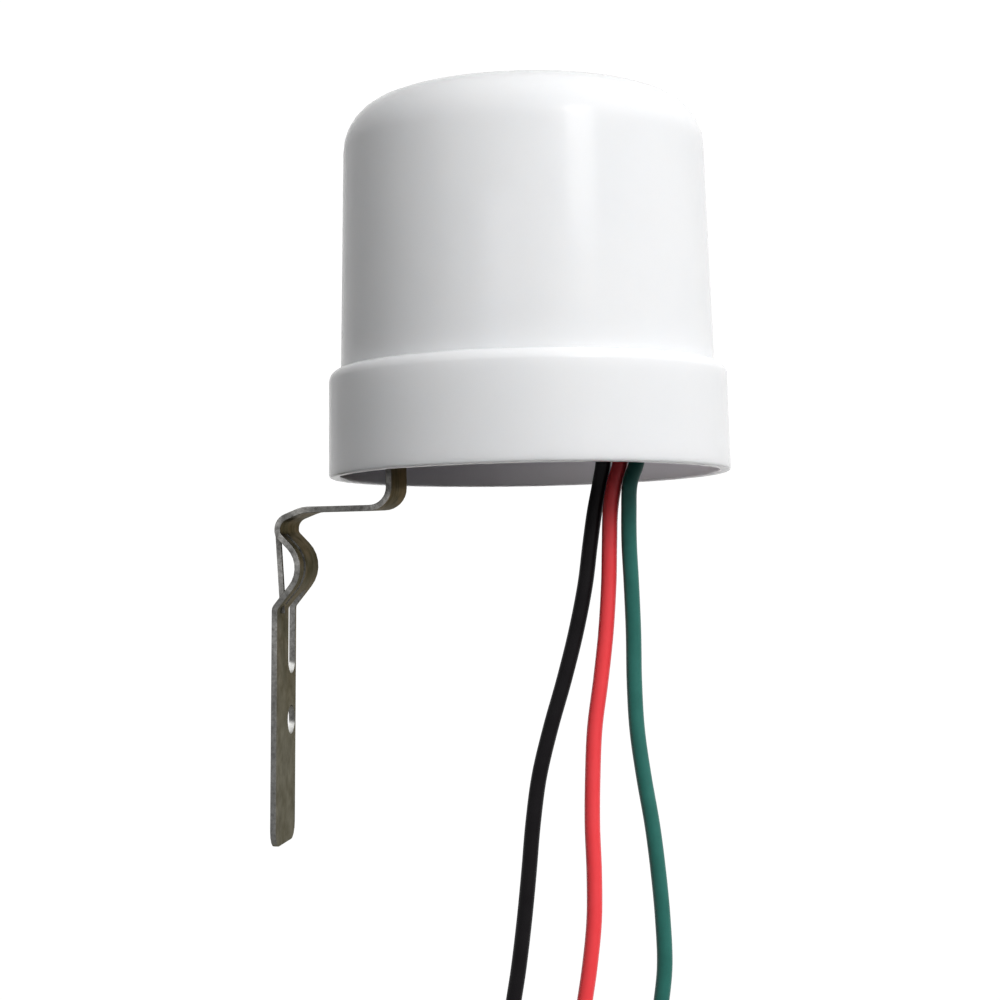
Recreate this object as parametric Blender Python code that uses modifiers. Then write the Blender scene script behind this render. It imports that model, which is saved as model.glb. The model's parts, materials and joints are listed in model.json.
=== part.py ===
"""Photocell switch: a domed dusk-to-dawn light sensor switch on a zinc-plated bracket, with three leads.

Units are metres, +Z is up. The sizes below are written with the cover on the Z axis and its rim at Z = 0.
The bracket leaves the cover towards -X, and the leads come out on the +X side. At the end everything hangs
from one empty, which puts the origin at the fixing point on the outer face of the bracket's leg.
"""

import math

import bmesh
import bpy
from mathutils import Matrix, Vector
from mathutils.geometry import interpolate_bezier

# Clearance between neighbouring pieces
GAP = 0.0003
# Shortest straight piece of a drawn arc
SHORTEST_CHORD = 0.0004
# Edges that turn more than this are shaded sharp
SHARP_ANGLE = math.radians(35)

# Cover: one moulded cap with a wider skirt
RIM_RADIUS = 0.0360
SKIRT_DRAFT = 0.0003
SKIRT_HEIGHT = 0.0192
SKIRT_FILLET = 0.0021
SKIRT_STEP = 0.00213
BODY_DRAFT = 0.00127
SHOULDER_FILLET = 0.0092
COVER_HEIGHT = 0.0683
CROWN_RISE = 0.0011
COVER_WALL = 0.0020
RIM_EDGE_FILLET = 0.0005
COVER_STEPS = 64
HIDDEN_DEGREES_PER_STEP = 24.0

# Screw bosses moulded inside the cover
BOSS_RADIUS = 0.0035
BOSS_IN_WALL = 0.00043
BOSS_TOP = 0.0460

# Base plate that closes the cover from below
PLATE_BOTTOM = 0.0060
PLATE_THICKNESS = 0.0024
PLATE_EDGE_CLEARANCE = 0.0004
PLATE_LIP_WIDTH = 0.0010
PLATE_LIP_HEIGHT = 0.0020

# Self-tapping screws that hold the plate to the bosses
COVER_SCREW_RADIUS = 0.0014
COVER_SCREW_HEAD_RADIUS = 0.0028
COVER_SCREW_HEAD_HEIGHT = 0.0017
COVER_SCREW_LENGTH = 0.0120
COUNTERBORE_DEPTH = 0.0010

# Bracket: one zinc-plated strip, bent and lanced
STRIP_WIDTH = 0.0144
STRIP_THICKNESS = 0.0011
STRIP_EDGE_RADIUS = 0.0002
STRIP_ROLL = 0.05
FOOT_END_X = -0.0080
TAB_X = -0.02445
TAB_TOP_BEND = 0.0022
TAB_BOTTOM_BEND = 0.0036
RUN_Z = -0.0051
RUN_END_BEND = 0.0050
SLOPE_REACH = 0.00465
SLOPE_DROP = 0.0018
DROP_X = -0.04495
DROP_BEND = 0.0024
DROP_LENGTH = 0.0025
SADDLE_DEPTH = 0.00545
SADDLE_PEAK_DROP = 0.0058
SADDLE_LENGTH = 0.0133
SADDLE_RADIUS = 0.0056
SADDLE_ROOT_BEND = 0.0012
LEG_SETBACK = 0.00071
LEG_LENGTH = 0.0428
LEG_LEAN = 0.00095
LEG_CORNER = 0.0030
TIE_BAR_OFFSET = -0.0036
TIE_BAR_WIDTH = 0.0009
TIE_BAR_SLIT = 0.0003
MOUNT_HOLE_EDGE_DISTANCE = 0.0035
MOUNT_SLOT_WIDTH = 0.0050
MOUNT_SLOT_LENGTH = 0.0154
MOUNT_SLOT_INTO_SADDLE = 0.0032
MOUNT_HOLE_RADIUS = 0.00265
MOUNT_HOLE_BELOW_SLOT = 0.0084
FIXING_POINT_BELOW_HOLE = 0.0117

# Screw, washer and nut that fix the bracket's foot to the plate
BRACKET_SCREW_X = -0.0150
BRACKET_SCREW_RADIUS = 0.0020
BRACKET_SCREW_HEAD_RADIUS = 0.0038
BRACKET_SCREW_HEAD_HEIGHT = 0.0015
WASHER_RADIUS = 0.0045
WASHER_THICKNESS = 0.0008
NUT_ACROSS_FLATS = 0.0070
NUT_HEIGHT = 0.0030
SCREW_BEYOND_NUT = 0.0008

# Circuit board on three posts of the plate
BOARD_RADIUS = 0.0250
BOARD_THICKNESS = 0.0016
BOARD_NOTCH_CLEARANCE = 0.0006
POST_RADIUS = 0.0025
POST_HEIGHT = 0.0063
POST_CIRCLE = 0.0200
POST_ANGLES = (70.0, 210.0, 330.0)
BOARD_SCREW_RADIUS = 0.00105
BOARD_SCREW_HEAD_RADIUS = 0.0021
BOARD_SCREW_HEAD_HEIGHT = 0.0014
BOARD_SCREW_LENGTH = 0.0065

# Component leads through the board
PIN_RADIUS = 0.00035
PIN_BELOW_BOARD = 0.0012
PIN_CLEARANCE = 0.0003

# Components: centre X and Y on the board, then sizes
RELAY_PLACE = (-0.0060, 0.0085)
RELAY_SIZE = (0.0190, 0.0154, 0.0155)
RELAY_EDGE = 0.0006
FILM_CAPACITOR_PLACE = (-0.0020, -0.0150)
FILM_CAPACITOR_SIZE = (0.0180, 0.0076, 0.0145)
FILM_CAPACITOR_PITCH = 0.0150
CAN_PLACE = (0.0100, 0.0128)
CAN_RADIUS = 0.0040
CAN_HEIGHT = 0.0120
CAN_PITCH = 0.0035
VARISTOR_PLACE = (0.0095, -0.0085)
VARISTOR_RADIUS = 0.0045
VARISTOR_THICKNESS = 0.0036
VARISTOR_PITCH = 0.0050
DIODE_XS = (-0.0120, -0.0085, -0.0050, -0.0015)
DIODE_Y = -0.0055
DIODE_RADIUS = 0.00135
DIODE_LENGTH = 0.0052
DIODE_SPAN = 0.0084
RESISTOR_X = 0.0110
RESISTOR_YS = (0.0045, -0.0040)
RESISTOR_RADIUS = 0.0012
RESISTOR_LENGTH = 0.0063
RESISTOR_SPAN = 0.0100
TRANSISTOR_PLACE = (0.0185, 0.0068)
TRANSISTOR_RADIUS = 0.0023
TRANSISTOR_HEIGHT = 0.0048
TRANSISTOR_PITCH = 0.00127
TRANSISTOR_STANDOFF = 0.0030
SENSOR_PLACE = (-0.0195, 0.0015)
SENSOR_Z = 0.0500
SENSOR_RADIUS = 0.0026
SENSOR_THICKNESS = 0.0021
SENSOR_PITCH = 0.0026
SLEEVE_RADIUS = 0.0029
SLEEVE_WALL = 0.0006
SLEEVE_GAP_TO_SENSOR = 0.0003

# Leads
LEAD_RADIUS = 0.0014
LEAD_SPACING = 0.0004
FIRST_LEAD_X = 0.0132
LEAD_CLEARANCE = 0.0003
CONDUCTOR_RADIUS = 0.0006
TINNED_LENGTH = 0.0080
LEAD_POINT_SPACING = 0.0070
SOLDER_RADIUS = 0.0013
SOLDER_HEIGHT = 0.0010

# Routes of the leads below the plate, as X, Y and Z
BLACK_ROUTE = (
    (0.0132, 0.0006, 0.0017), (0.0124, 0.0012, -0.0022), (0.0114, 0.0011, -0.0070),
    (0.0105, 0.0008, -0.0129), (0.0095, 0.0005, -0.0200), (0.0077, 0.0002, -0.0284), (0.0054, 0.0, -0.0369),
    (0.0028, 0.0, -0.0454), (0.0006, 0.0, -0.0539), (-0.0007, 0.0, -0.0624), (-0.0016, 0.0, -0.0709),
    (-0.0026, 0.0, -0.0794), (-0.0038, 0.0, -0.0879), (-0.0053, 0.0, -0.0970), (-0.0063, 0.0, -0.1090),
    (-0.0063, 0.0, -0.1240), (-0.0053, 0.0, -0.1400),
)
RED_ROUTE = (
    (0.0163, 0.0, 0.0017), (0.0152, -0.0002, -0.0022), (0.0144, -0.0002, -0.0070),
    (0.0141, -0.0001, -0.0129), (0.0138, 0.0, -0.0200), (0.0131, 0.0, -0.0285), (0.0120, 0.0, -0.0370),
    (0.01075, 0.0, -0.0454), (0.0102, 0.0, -0.0540), (0.00995, 0.0, -0.0625), (0.0101, 0.0, -0.0710),
    (0.0099, 0.0, -0.0794), (0.0089, 0.0, -0.0878), (0.0074, 0.0, -0.0970), (0.0061, 0.0, -0.1090),
    (0.0055, 0.0, -0.1240), (0.0057, 0.0, -0.1400),
)
GREEN_ROUTE = (
    (0.01935, -0.0007, 0.0017), (0.0181, -0.0012, -0.0022), (0.0178, -0.0010, -0.0070),
    (0.0177, -0.0007, -0.0129), (0.0179, -0.0004, -0.0200), (0.01805, -0.0001, -0.0285),
    (0.0180, 0.0, -0.0371), (0.0183, 0.0, -0.0456), (0.0193, 0.0, -0.0540), (0.0206, 0.0, -0.0625),
    (0.0215, 0.0, -0.0709), (0.0221, 0.0, -0.0794), (0.0222, 0.0, -0.0878), (0.0210, 0.0, -0.0970),
    (0.0196, 0.0, -0.1090), (0.0188, 0.0, -0.1240), (0.0188, 0.0, -0.1400),
)

# Places worked out from the sizes above
SKIRT_TOP_RADIUS = RIM_RADIUS - SKIRT_DRAFT
NECK_RADIUS = SKIRT_TOP_RADIUS - SKIRT_STEP
SHOULDER_CORNER_RADIUS = NECK_RADIUS - BODY_DRAFT
BOSS_OFFSET = NECK_RADIUS - COVER_WALL - BOSS_RADIUS + BOSS_IN_WALL
PLATE_TOP = PLATE_BOTTOM + PLATE_THICKNESS
PLATE_SHARE = PLATE_BOTTOM / SKIRT_HEIGHT
SKIRT_INNER_AT_PLATE = RIM_RADIUS + (SKIRT_TOP_RADIUS - RIM_RADIUS) * PLATE_SHARE - COVER_WALL
PLATE_RADIUS = SKIRT_INNER_AT_PLATE - PLATE_EDGE_CLEARANCE
BOSS_BOTTOM = PLATE_TOP + GAP
FOOT_Z = PLATE_BOTTOM - GAP - STRIP_THICKNESS / 2
DROP_Z = RUN_Z - SLOPE_DROP
SADDLE_TOP_Z = DROP_Z - DROP_LENGTH
SADDLE_PEAK = (DROP_X + SADDLE_DEPTH, SADDLE_TOP_Z - SADDLE_PEAK_DROP)
LEG_TOP = (DROP_X - LEG_SETBACK, SADDLE_TOP_Z - SADDLE_LENGTH)
LEG_BOTTOM = (LEG_TOP[0] - LEG_LEAN, LEG_TOP[1] - LEG_LENGTH)
MOUNT_HOLE_OFFSET = STRIP_WIDTH / 2 - MOUNT_HOLE_EDGE_DISTANCE
MOUNT_SLOT_TOP_Z = LEG_TOP[1] + MOUNT_SLOT_INTO_SADDLE
MOUNT_SLOT_BOTTOM_Z = MOUNT_SLOT_TOP_Z - MOUNT_SLOT_LENGTH
MOUNT_HOLE_Z = MOUNT_SLOT_BOTTOM_Z - MOUNT_HOLE_BELOW_SLOT
FIXING_POINT_Z = MOUNT_HOLE_Z - FIXING_POINT_BELOW_HOLE
POST_TOP = PLATE_TOP + POST_HEIGHT
BOARD_BOTTOM = POST_TOP + GAP
BOARD_TOP = BOARD_BOTTOM + BOARD_THICKNESS
SEAT_Z = BOARD_TOP + GAP
PIN_BOTTOM = BOARD_BOTTOM - PIN_BELOW_BOARD
LEAD_PITCH = 2 * LEAD_RADIUS + LEAD_SPACING
LEAD_XS = tuple(FIRST_LEAD_X + LEAD_PITCH * i for i in range(3))
LEAD_TOP = BOARD_BOTTOM - 2 * GAP


def clear_scene():
    for obj in list(bpy.context.scene.objects):
        bpy.data.objects.remove(obj, do_unlink=True)


def new_collection(name, hidden=False):
    collection = bpy.data.collections.new(name)
    bpy.context.scene.collection.children.link(collection)
    collection.hide_render = hidden
    return collection


def new_material(name, colour, roughness, metallic=0.0):
    material = bpy.data.materials.new(name)
    material.use_nodes = True
    shader = material.node_tree.nodes["Principled BSDF"]
    shader.inputs["Base Color"].default_value = (*colour, 1.0)
    shader.inputs["Roughness"].default_value = roughness
    shader.inputs["Metallic"].default_value = metallic
    material.diffuse_color = (*colour, 1.0)
    return material


def add_part(name, bm, material):
    """Turns a bmesh into a named object of the part."""
    bmesh.ops.recalc_face_normals(bm, faces=bm.faces)
    mesh = bpy.data.meshes.new(name)
    bm.to_mesh(mesh)
    bm.free()
    mesh.shade_smooth()
    mesh.set_sharp_from_angle(angle=SHARP_ANGLE)
    mesh.materials.append(material)
    obj = bpy.data.objects.new(name, mesh)
    PARTS.objects.link(obj)
    return obj


def add_tool(name, bm):
    """Turns a bmesh into a hidden object that a Boolean of a part uses."""
    bmesh.ops.recalc_face_normals(bm, faces=bm.faces)
    mesh = bpy.data.meshes.new(name)
    bm.to_mesh(mesh)
    bm.free()
    obj = bpy.data.objects.new(name, mesh)
    obj.display_type = "WIRE"
    obj.hide_render = True
    TOOLS.objects.link(obj)
    return obj


def boolean(obj, tool, operation):
    modifier = obj.modifiers.new(tool.name, "BOOLEAN")
    modifier.object = tool
    modifier.operation = operation
    modifier.solver = "EXACT"


def put_cylinder(bm, centre, radius, bottom, top, sides=24, top_radius=None):
    """Adds an upright cylinder or cone between two heights."""
    place = Matrix.Translation((centre[0], centre[1], (bottom + top) / 2))
    end = radius if top_radius is None else top_radius
    bmesh.ops.create_cone(
        bm, cap_ends=True, segments=sides, radius1=radius, radius2=end, depth=top - bottom, matrix=place
    )


def put_box(bm, low, high):
    """Adds a box between two corners."""
    size = Vector(high) - Vector(low)
    place = Matrix.Translation((Vector(high) + Vector(low)) / 2) @ Matrix.Diagonal((*size, 1.0))
    bmesh.ops.create_cube(bm, size=1.0, matrix=place)


def put_prism(bm, outline, bottom, top):
    """Adds an upright prism over a flat outline of X and Y points."""
    face = bm.faces.new([bm.verts.new((x, y, bottom)) for x, y in outline])
    grown = bmesh.ops.extrude_face_region(bm, geom=[face])
    moved = [item for item in grown["geom"] if isinstance(item, bmesh.types.BMVert)]
    bmesh.ops.translate(bm, verts=moved, vec=(0.0, 0.0, top - bottom))


def oblong(centre, length, width, steps=8):
    """Outline of a slot with round ends, long in X."""
    radius = width / 2
    reach = length / 2 - radius
    outline = []
    for side, start in ((1, -90), (-1, 90)):
        for i in range(steps + 1):
            angle = math.radians(start + 180 * i / steps)
            outline.append(
                (centre[0] + side * reach + radius * math.cos(angle), centre[1] + radius * math.sin(angle))
            )
    return outline


def rounded_path(corners, degrees_per_step=12.0):
    """Points along a line through corners (x, z, radius), with an arc at each corner that has a radius."""
    path = [Vector(corners[0][:2])]
    for before, corner, after in zip(corners, corners[1:], corners[2:]):
        here = Vector(corner[:2])
        back = (Vector(before[:2]) - here).normalized()
        ahead = (Vector(after[:2]) - here).normalized()
        radius = corner[2]
        if radius == 0.0:
            path.append(here)
            continue
        half = back.angle(ahead) / 2
        centre = here + (back + ahead).normalized() * (radius / math.sin(half))
        first = here + back * (radius / math.tan(half)) - centre
        turn = first.angle_signed(here + ahead * (radius / math.tan(half)) - centre)
        steps = round(abs(math.degrees(turn)) / degrees_per_step)
        steps = max(2, min(steps, round(abs(turn) * radius / SHORTEST_CHORD)))
        for i in range(steps + 1):
            angle = -turn * i / steps
            spun = Vector((
                first.x * math.cos(angle) - first.y * math.sin(angle),
                first.x * math.sin(angle) + first.y * math.cos(angle),
            ))
            path.append(centre + spun)
    path.append(Vector(corners[-1][:2]))
    return path


def turned(name, profile, material, steps):
    """A solid of revolution about Z from a profile of radius and height, top to bottom."""
    bm = bmesh.new()
    ring = [bm.verts.new((point[0], 0.0, point[1])) for point in profile]
    for first, second in zip(ring, ring[1:]):
        bm.edges.new((first, second))
    mesh = bpy.data.meshes.new(name)
    bm.to_mesh(mesh)
    bm.free()
    mesh.materials.append(material)
    obj = bpy.data.objects.new(name, mesh)
    PARTS.objects.link(obj)
    screw = obj.modifiers.new("turn", "SCREW")
    screw.axis = "Z"
    screw.steps = steps
    screw.render_steps = steps
    screw.use_merge_vertices = True
    screw.merge_threshold = 0.00001
    return obj


def crown(radius, height):
    """Height of the slightly domed top at a radius."""
    return height - CROWN_RISE * (radius / SHOULDER_CORNER_RADIUS) ** 2


def cover_profile():
    """Outer side from the top down to the rim, then the inner side back up to the axis."""
    inner_top = COVER_HEIGHT - COVER_WALL
    inner_shoulder = SHOULDER_CORNER_RADIUS - COVER_WALL
    inner_fillet = SHOULDER_FILLET - COVER_WALL
    inner_skirt_height = SKIRT_HEIGHT - COVER_WALL
    crown_radii = [SHOULDER_CORNER_RADIUS * share for share in (0.0, 0.3, 0.55)]
    outer = [(radius, crown(radius, COVER_HEIGHT), 0.0) for radius in crown_radii]
    outer += [
        (SHOULDER_CORNER_RADIUS, crown(SHOULDER_CORNER_RADIUS, COVER_HEIGHT), SHOULDER_FILLET),
        (NECK_RADIUS, SKIRT_HEIGHT, 0.0),
        (SKIRT_TOP_RADIUS, SKIRT_HEIGHT, SKIRT_FILLET),
        (RIM_RADIUS, 0.0, RIM_EDGE_FILLET),
    ]
    inner = [
        (RIM_RADIUS - COVER_WALL, 0.0, RIM_EDGE_FILLET),
        (SKIRT_TOP_RADIUS - COVER_WALL, inner_skirt_height, 0.0),
        (NECK_RADIUS - COVER_WALL, inner_skirt_height, 0.0),
        (inner_shoulder, crown(SHOULDER_CORNER_RADIUS, inner_top), inner_fillet),
    ]
    inner += [(radius, crown(radius, inner_top), 0.0) for radius in reversed(crown_radii)]
    outer_path = rounded_path(outer + inner[:2])
    inner_path = rounded_path(inner[1:], HIDDEN_DEGREES_PER_STEP)
    return outer_path + inner_path[1:]


def boss_places():
    return [(0.0, BOSS_OFFSET), (0.0, -BOSS_OFFSET)]


def make_cover():
    cover = turned("cover", cover_profile(), new_material("white_cap", (0.86, 0.87, 0.88), 0.22), COVER_STEPS)
    bosses = bmesh.new()
    pilots = bmesh.new()
    for place in boss_places():
        put_cylinder(bosses, place, BOSS_RADIUS, BOSS_BOTTOM, BOSS_TOP, 20)
        pilot_depth = PLATE_BOTTOM + COUNTERBORE_DEPTH + COVER_SCREW_LENGTH + 0.0010
        put_cylinder(pilots, place, COVER_SCREW_RADIUS + GAP, BOSS_BOTTOM - 0.001, pilot_depth, 16)
    boolean(cover, add_tool("cover_bosses", bosses), "UNION")
    boolean(cover, add_tool("cover_pilots", pilots), "DIFFERENCE")


def post_places():
    angles = [math.radians(angle) for angle in POST_ANGLES]
    return [(POST_CIRCLE * math.cos(angle), POST_CIRCLE * math.sin(angle)) for angle in angles]


def make_base_plate():
    lip_top = PLATE_TOP + PLATE_LIP_HEIGHT
    edge = 0.0004
    corners = [
        (0.0, PLATE_TOP, 0.0),
        (PLATE_RADIUS - PLATE_LIP_WIDTH, PLATE_TOP, 0.0),
        (PLATE_RADIUS - PLATE_LIP_WIDTH, lip_top, 0.0),
        (PLATE_RADIUS, lip_top, 0.0),
        (PLATE_RADIUS, PLATE_BOTTOM, edge),
        (0.0, PLATE_BOTTOM, 0.0),
    ]
    material = new_material("dark_plate", (0.06, 0.06, 0.065), 0.5)
    plate = turned("base_plate", rounded_path(corners, 45.0), material, 48)
    posts = bmesh.new()
    cuts = bmesh.new()
    for place in post_places():
        put_cylinder(posts, place, POST_RADIUS, PLATE_TOP - 0.0005, POST_TOP, 16)
        put_cylinder(cuts, place, BOARD_SCREW_RADIUS + GAP, PLATE_TOP + 0.0003, POST_TOP + 0.001, 12)
    for place in boss_places():
        put_cylinder(cuts, place, COVER_SCREW_RADIUS + GAP, PLATE_BOTTOM - 0.001, PLATE_TOP + 0.001, 16)
    put_cylinder(
        cuts, (BRACKET_SCREW_X, 0.0), BRACKET_SCREW_RADIUS + GAP, PLATE_BOTTOM - 0.001, PLATE_TOP + 0.001, 16
    )
    slot_width = 2 * (LEAD_RADIUS + LEAD_CLEARANCE)
    slot_centre = (LEAD_XS[1], 0.0)
    slot = oblong(slot_centre, 2 * LEAD_PITCH + slot_width, slot_width)
    put_prism(cuts, slot, PLATE_BOTTOM - 0.001, PLATE_TOP + 0.001)
    counterbores = bmesh.new()
    for place in boss_places():
        head_radius = COVER_SCREW_HEAD_RADIUS + GAP
        put_cylinder(
            counterbores, place, head_radius, PLATE_BOTTOM - 0.001, PLATE_BOTTOM + COUNTERBORE_DEPTH, 20
        )
    boolean(plate, add_tool("plate_posts", posts), "UNION")
    boolean(plate, add_tool("plate_holes", cuts), "DIFFERENCE")
    boolean(plate, add_tool("plate_counterbores", counterbores), "DIFFERENCE")


def pan_head_screw(name, place, shank, head, shank_end, seat, head_end, material):
    """An upright screw: shank from shank_end to seat, head from seat to head_end, with a cross recess."""
    x, y = place
    up = 1 if head_end > seat else -1
    head_height = abs(head_end - seat)
    low, high = sorted((seat, head_end))
    small = head * 0.78
    body = bmesh.new()
    if up > 0:
        put_cylinder(body, place, head, low, high, 20, small)
    else:
        put_cylinder(body, place, small, low, high, 20, head)
    screw = add_part(name, body, material)
    overlap = seat + up * head_height * 0.3
    rod = bmesh.new()
    put_cylinder(rod, place, shank, min(shank_end, overlap), max(shank_end, overlap), 14)
    boolean(screw, add_tool(name + "_shank", rod), "UNION")
    low, high = sorted((head_end - up * head_height * 0.5, head_end + up * 0.001))
    bar = head * 0.5
    thin = head * 0.13
    across = bmesh.new()
    put_box(across, (x - bar, y - thin, low), (x + bar, y + thin, high))
    boolean(screw, add_tool(name + "_recess_x", across), "DIFFERENCE")
    along = bmesh.new()
    put_box(along, (x - thin, y - bar, low), (x + thin, y + bar, high))
    boolean(screw, add_tool(name + "_recess_y", along), "DIFFERENCE")


def make_cover_screws(steel):
    seat = PLATE_BOTTOM + COUNTERBORE_DEPTH - GAP
    for i, place in enumerate(boss_places(), 1):
        pan_head_screw(
            f"cover_screw_{i}", place, COVER_SCREW_RADIUS, COVER_SCREW_HEAD_RADIUS,
            seat + COVER_SCREW_LENGTH, seat, seat - COVER_SCREW_HEAD_HEIGHT, steel,
        )


def bracket_path():
    """Centre line of the strip in X and Z, from the foot's end to the leg's end."""
    return rounded_path([
        (FOOT_END_X, FOOT_Z, 0.0),
        (TAB_X, FOOT_Z, TAB_TOP_BEND),
        (TAB_X, RUN_Z, TAB_BOTTOM_BEND),
        (DROP_X + SLOPE_REACH, RUN_Z, RUN_END_BEND),
        (DROP_X, DROP_Z, DROP_BEND),
        (DROP_X, SADDLE_TOP_Z, SADDLE_ROOT_BEND),
        (*SADDLE_PEAK, SADDLE_RADIUS),
        (*LEG_TOP, SADDLE_ROOT_BEND),
        (*LEG_BOTTOM, 0.0),
    ])


def strip_rows():
    """Rows of the flat strip: the path, then the leg's end with its two round corners."""
    path = bracket_path()
    end = path.pop()
    along = (end - path[-1]).normalized()
    start = end - along * LEG_CORNER
    rows = [(point, STRIP_WIDTH / 2) for point in path]
    steps = 4
    for i in range(steps + 1):
        angle = math.radians(90 * i / steps)
        inset = LEG_CORNER * (1 - math.cos(angle))
        rows.append((start + along * (LEG_CORNER * math.sin(angle)), STRIP_WIDTH / 2 - inset))
    return rows


def make_bracket(zinc):
    bm = bmesh.new()
    edges = []
    for point, half in strip_rows():
        twisted = min(1.0, max(0.0, (FOOT_Z - point.y) / (FOOT_Z - RUN_Z)))
        rise = STRIP_ROLL * twisted * half
        near = bm.verts.new((point.x, -half, point.y - rise))
        far = bm.verts.new((point.x, half, point.y + rise))
        edges.append((near, far))
    for (near, far), (next_near, next_far) in zip(edges, edges[1:]):
        bm.faces.new((near, far, next_far, next_near))
    bracket = add_part("bracket", bm, zinc)
    sheet = bracket.modifiers.new("sheet", "SOLIDIFY")
    sheet.thickness = STRIP_THICKNESS
    sheet.offset = 0.0
    sheet.use_even_offset = True
    edge = bracket.modifiers.new("edge", "BEVEL")
    edge.width = STRIP_EDGE_RADIUS
    edge.segments = 2
    edge.limit_method = "ANGLE"
    edge.angle_limit = math.radians(50)
    boolean(bracket, saddle_slot(), "DIFFERENCE")
    boolean(bracket, tie_bar(), "UNION")
    boolean(bracket, bracket_holes(), "DIFFERENCE")


def saddle_slot():
    """Slot through the half-round saddle, where the tie bar was lanced free."""
    bm = bmesh.new()
    half = TIE_BAR_WIDTH / 2 + TIE_BAR_SLIT
    low = (DROP_X - 0.004, TIE_BAR_OFFSET - half, LEG_TOP[1] + 0.0002)
    high = (SADDLE_PEAK[0] + 0.003, TIE_BAR_OFFSET + half, SADDLE_TOP_Z - 0.0002)
    put_box(bm, low, high)
    return add_tool("saddle_slot", bm)


def tie_bar():
    """The straight bar left standing in the strip's own plane, from root to root of the saddle."""
    top = Vector((DROP_X, SADDLE_TOP_Z + 0.0008))
    leg_lean = (LEG_BOTTOM[0] - LEG_TOP[0]) / (LEG_BOTTOM[1] - LEG_TOP[1])
    bottom = Vector((LEG_TOP[0] - 0.0012 * leg_lean, LEG_TOP[1] - 0.0012))
    lean = math.atan2(bottom.x - top.x, top.y - bottom.y)
    centre = (top + bottom) / 2
    size = (STRIP_THICKNESS - 0.0002, TIE_BAR_WIDTH, (top - bottom).length)
    bm = bmesh.new()
    place = Matrix.Translation((centre.x, TIE_BAR_OFFSET, centre.y)) @ Matrix.Rotation(lean, 4, "Y")
    bmesh.ops.create_cube(bm, size=1.0, matrix=place @ Matrix.Diagonal((*size, 1.0)))
    return add_tool("tie_bar", bm)


def bracket_holes():
    """Mounting slot and hole in the leg, and the screw hole in the foot."""
    bm = bmesh.new()
    length = MOUNT_SLOT_TOP_Z - MOUNT_SLOT_BOTTOM_Z
    put_prism(bm, oblong((0.0, 0.0), length, MOUNT_SLOT_WIDTH), -0.004, SADDLE_DEPTH + 0.002)
    put_cylinder(
        bm, ((MOUNT_SLOT_TOP_Z + MOUNT_SLOT_BOTTOM_Z) / 2 - MOUNT_HOLE_Z, 0.0), MOUNT_HOLE_RADIUS, -0.004, 0.004
    )
    middle = (MOUNT_SLOT_TOP_Z + MOUNT_SLOT_BOTTOM_Z) / 2
    place = Matrix.Translation((LEG_TOP[0], MOUNT_HOLE_OFFSET, middle)) @ Matrix.Rotation(math.pi / 2, 4, "Y")
    bmesh.ops.transform(bm, matrix=place, verts=bm.verts)
    foot_low = FOOT_Z - STRIP_THICKNESS
    foot_high = FOOT_Z + STRIP_THICKNESS
    put_cylinder(bm, (BRACKET_SCREW_X, 0.0), BRACKET_SCREW_RADIUS + GAP, foot_low, foot_high, 16)
    return add_tool("bracket_holes", bm)


def make_bracket_fixing(steel):
    foot_under = FOOT_Z - STRIP_THICKNESS / 2 - GAP
    washer_bottom = PLATE_TOP + GAP
    washer_top = washer_bottom + WASHER_THICKNESS
    nut_bottom = washer_top + GAP
    nut_top = nut_bottom + NUT_HEIGHT
    bore = BRACKET_SCREW_RADIUS + GAP
    place = (BRACKET_SCREW_X, 0.0)
    pan_head_screw(
        "bracket_screw", place, BRACKET_SCREW_RADIUS, BRACKET_SCREW_HEAD_RADIUS,
        nut_top + SCREW_BEYOND_NUT, foot_under, foot_under - BRACKET_SCREW_HEAD_HEIGHT, steel,
    )
    washer = bmesh.new()
    put_cylinder(washer, place, WASHER_RADIUS, washer_bottom, washer_top, 24)
    ring = add_part("bracket_washer", washer, steel)
    nut = bmesh.new()
    put_cylinder(nut, place, NUT_ACROSS_FLATS / math.sqrt(3), nut_bottom, nut_top, 6)
    hexagon = add_part("bracket_nut", nut, steel)
    hole = bmesh.new()
    put_cylinder(hole, place, bore, washer_bottom - 0.001, nut_top + 0.001, 16)
    tool = add_tool("nut_bore", hole)
    boolean(ring, tool, "DIFFERENCE")
    boolean(hexagon, tool, "DIFFERENCE")


def relay_pins():
    x, y = RELAY_PLACE
    half_x = RELAY_SIZE[0] / 2 - 0.0015
    half_y = RELAY_SIZE[1] / 2 - 0.0017
    return [
        (x - half_x, y), (x - half_x + 0.002, y - half_y), (x - half_x + 0.002, y + half_y),
        (x + half_x - 0.002, y - half_y), (x + half_x - 0.002, y + half_y),
    ]


def pair(place, pitch):
    return [(place[0] - pitch / 2, place[1]), (place[0] + pitch / 2, place[1])]


def diode_pins():
    return [(x, DIODE_Y + side * DIODE_SPAN / 2) for x in DIODE_XS for side in (-1, 1)]


def resistor_pins():
    return [(RESISTOR_X + side * RESISTOR_SPAN / 2, y) for y in RESISTOR_YS for side in (-1, 1)]


def transistor_pins():
    x, y = TRANSISTOR_PLACE
    return [(x + step * TRANSISTOR_PITCH * 1.3, y + (step == 0) * 0.0013) for step in (-1, 0, 1)]


def all_pins():
    pins = relay_pins() + pair(FILM_CAPACITOR_PLACE, FILM_CAPACITOR_PITCH) + pair(CAN_PLACE, CAN_PITCH)
    pins += pair(VARISTOR_PLACE, VARISTOR_PITCH) + diode_pins() + resistor_pins() + transistor_pins()
    return pins + pair(SENSOR_PLACE, SENSOR_PITCH)


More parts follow.
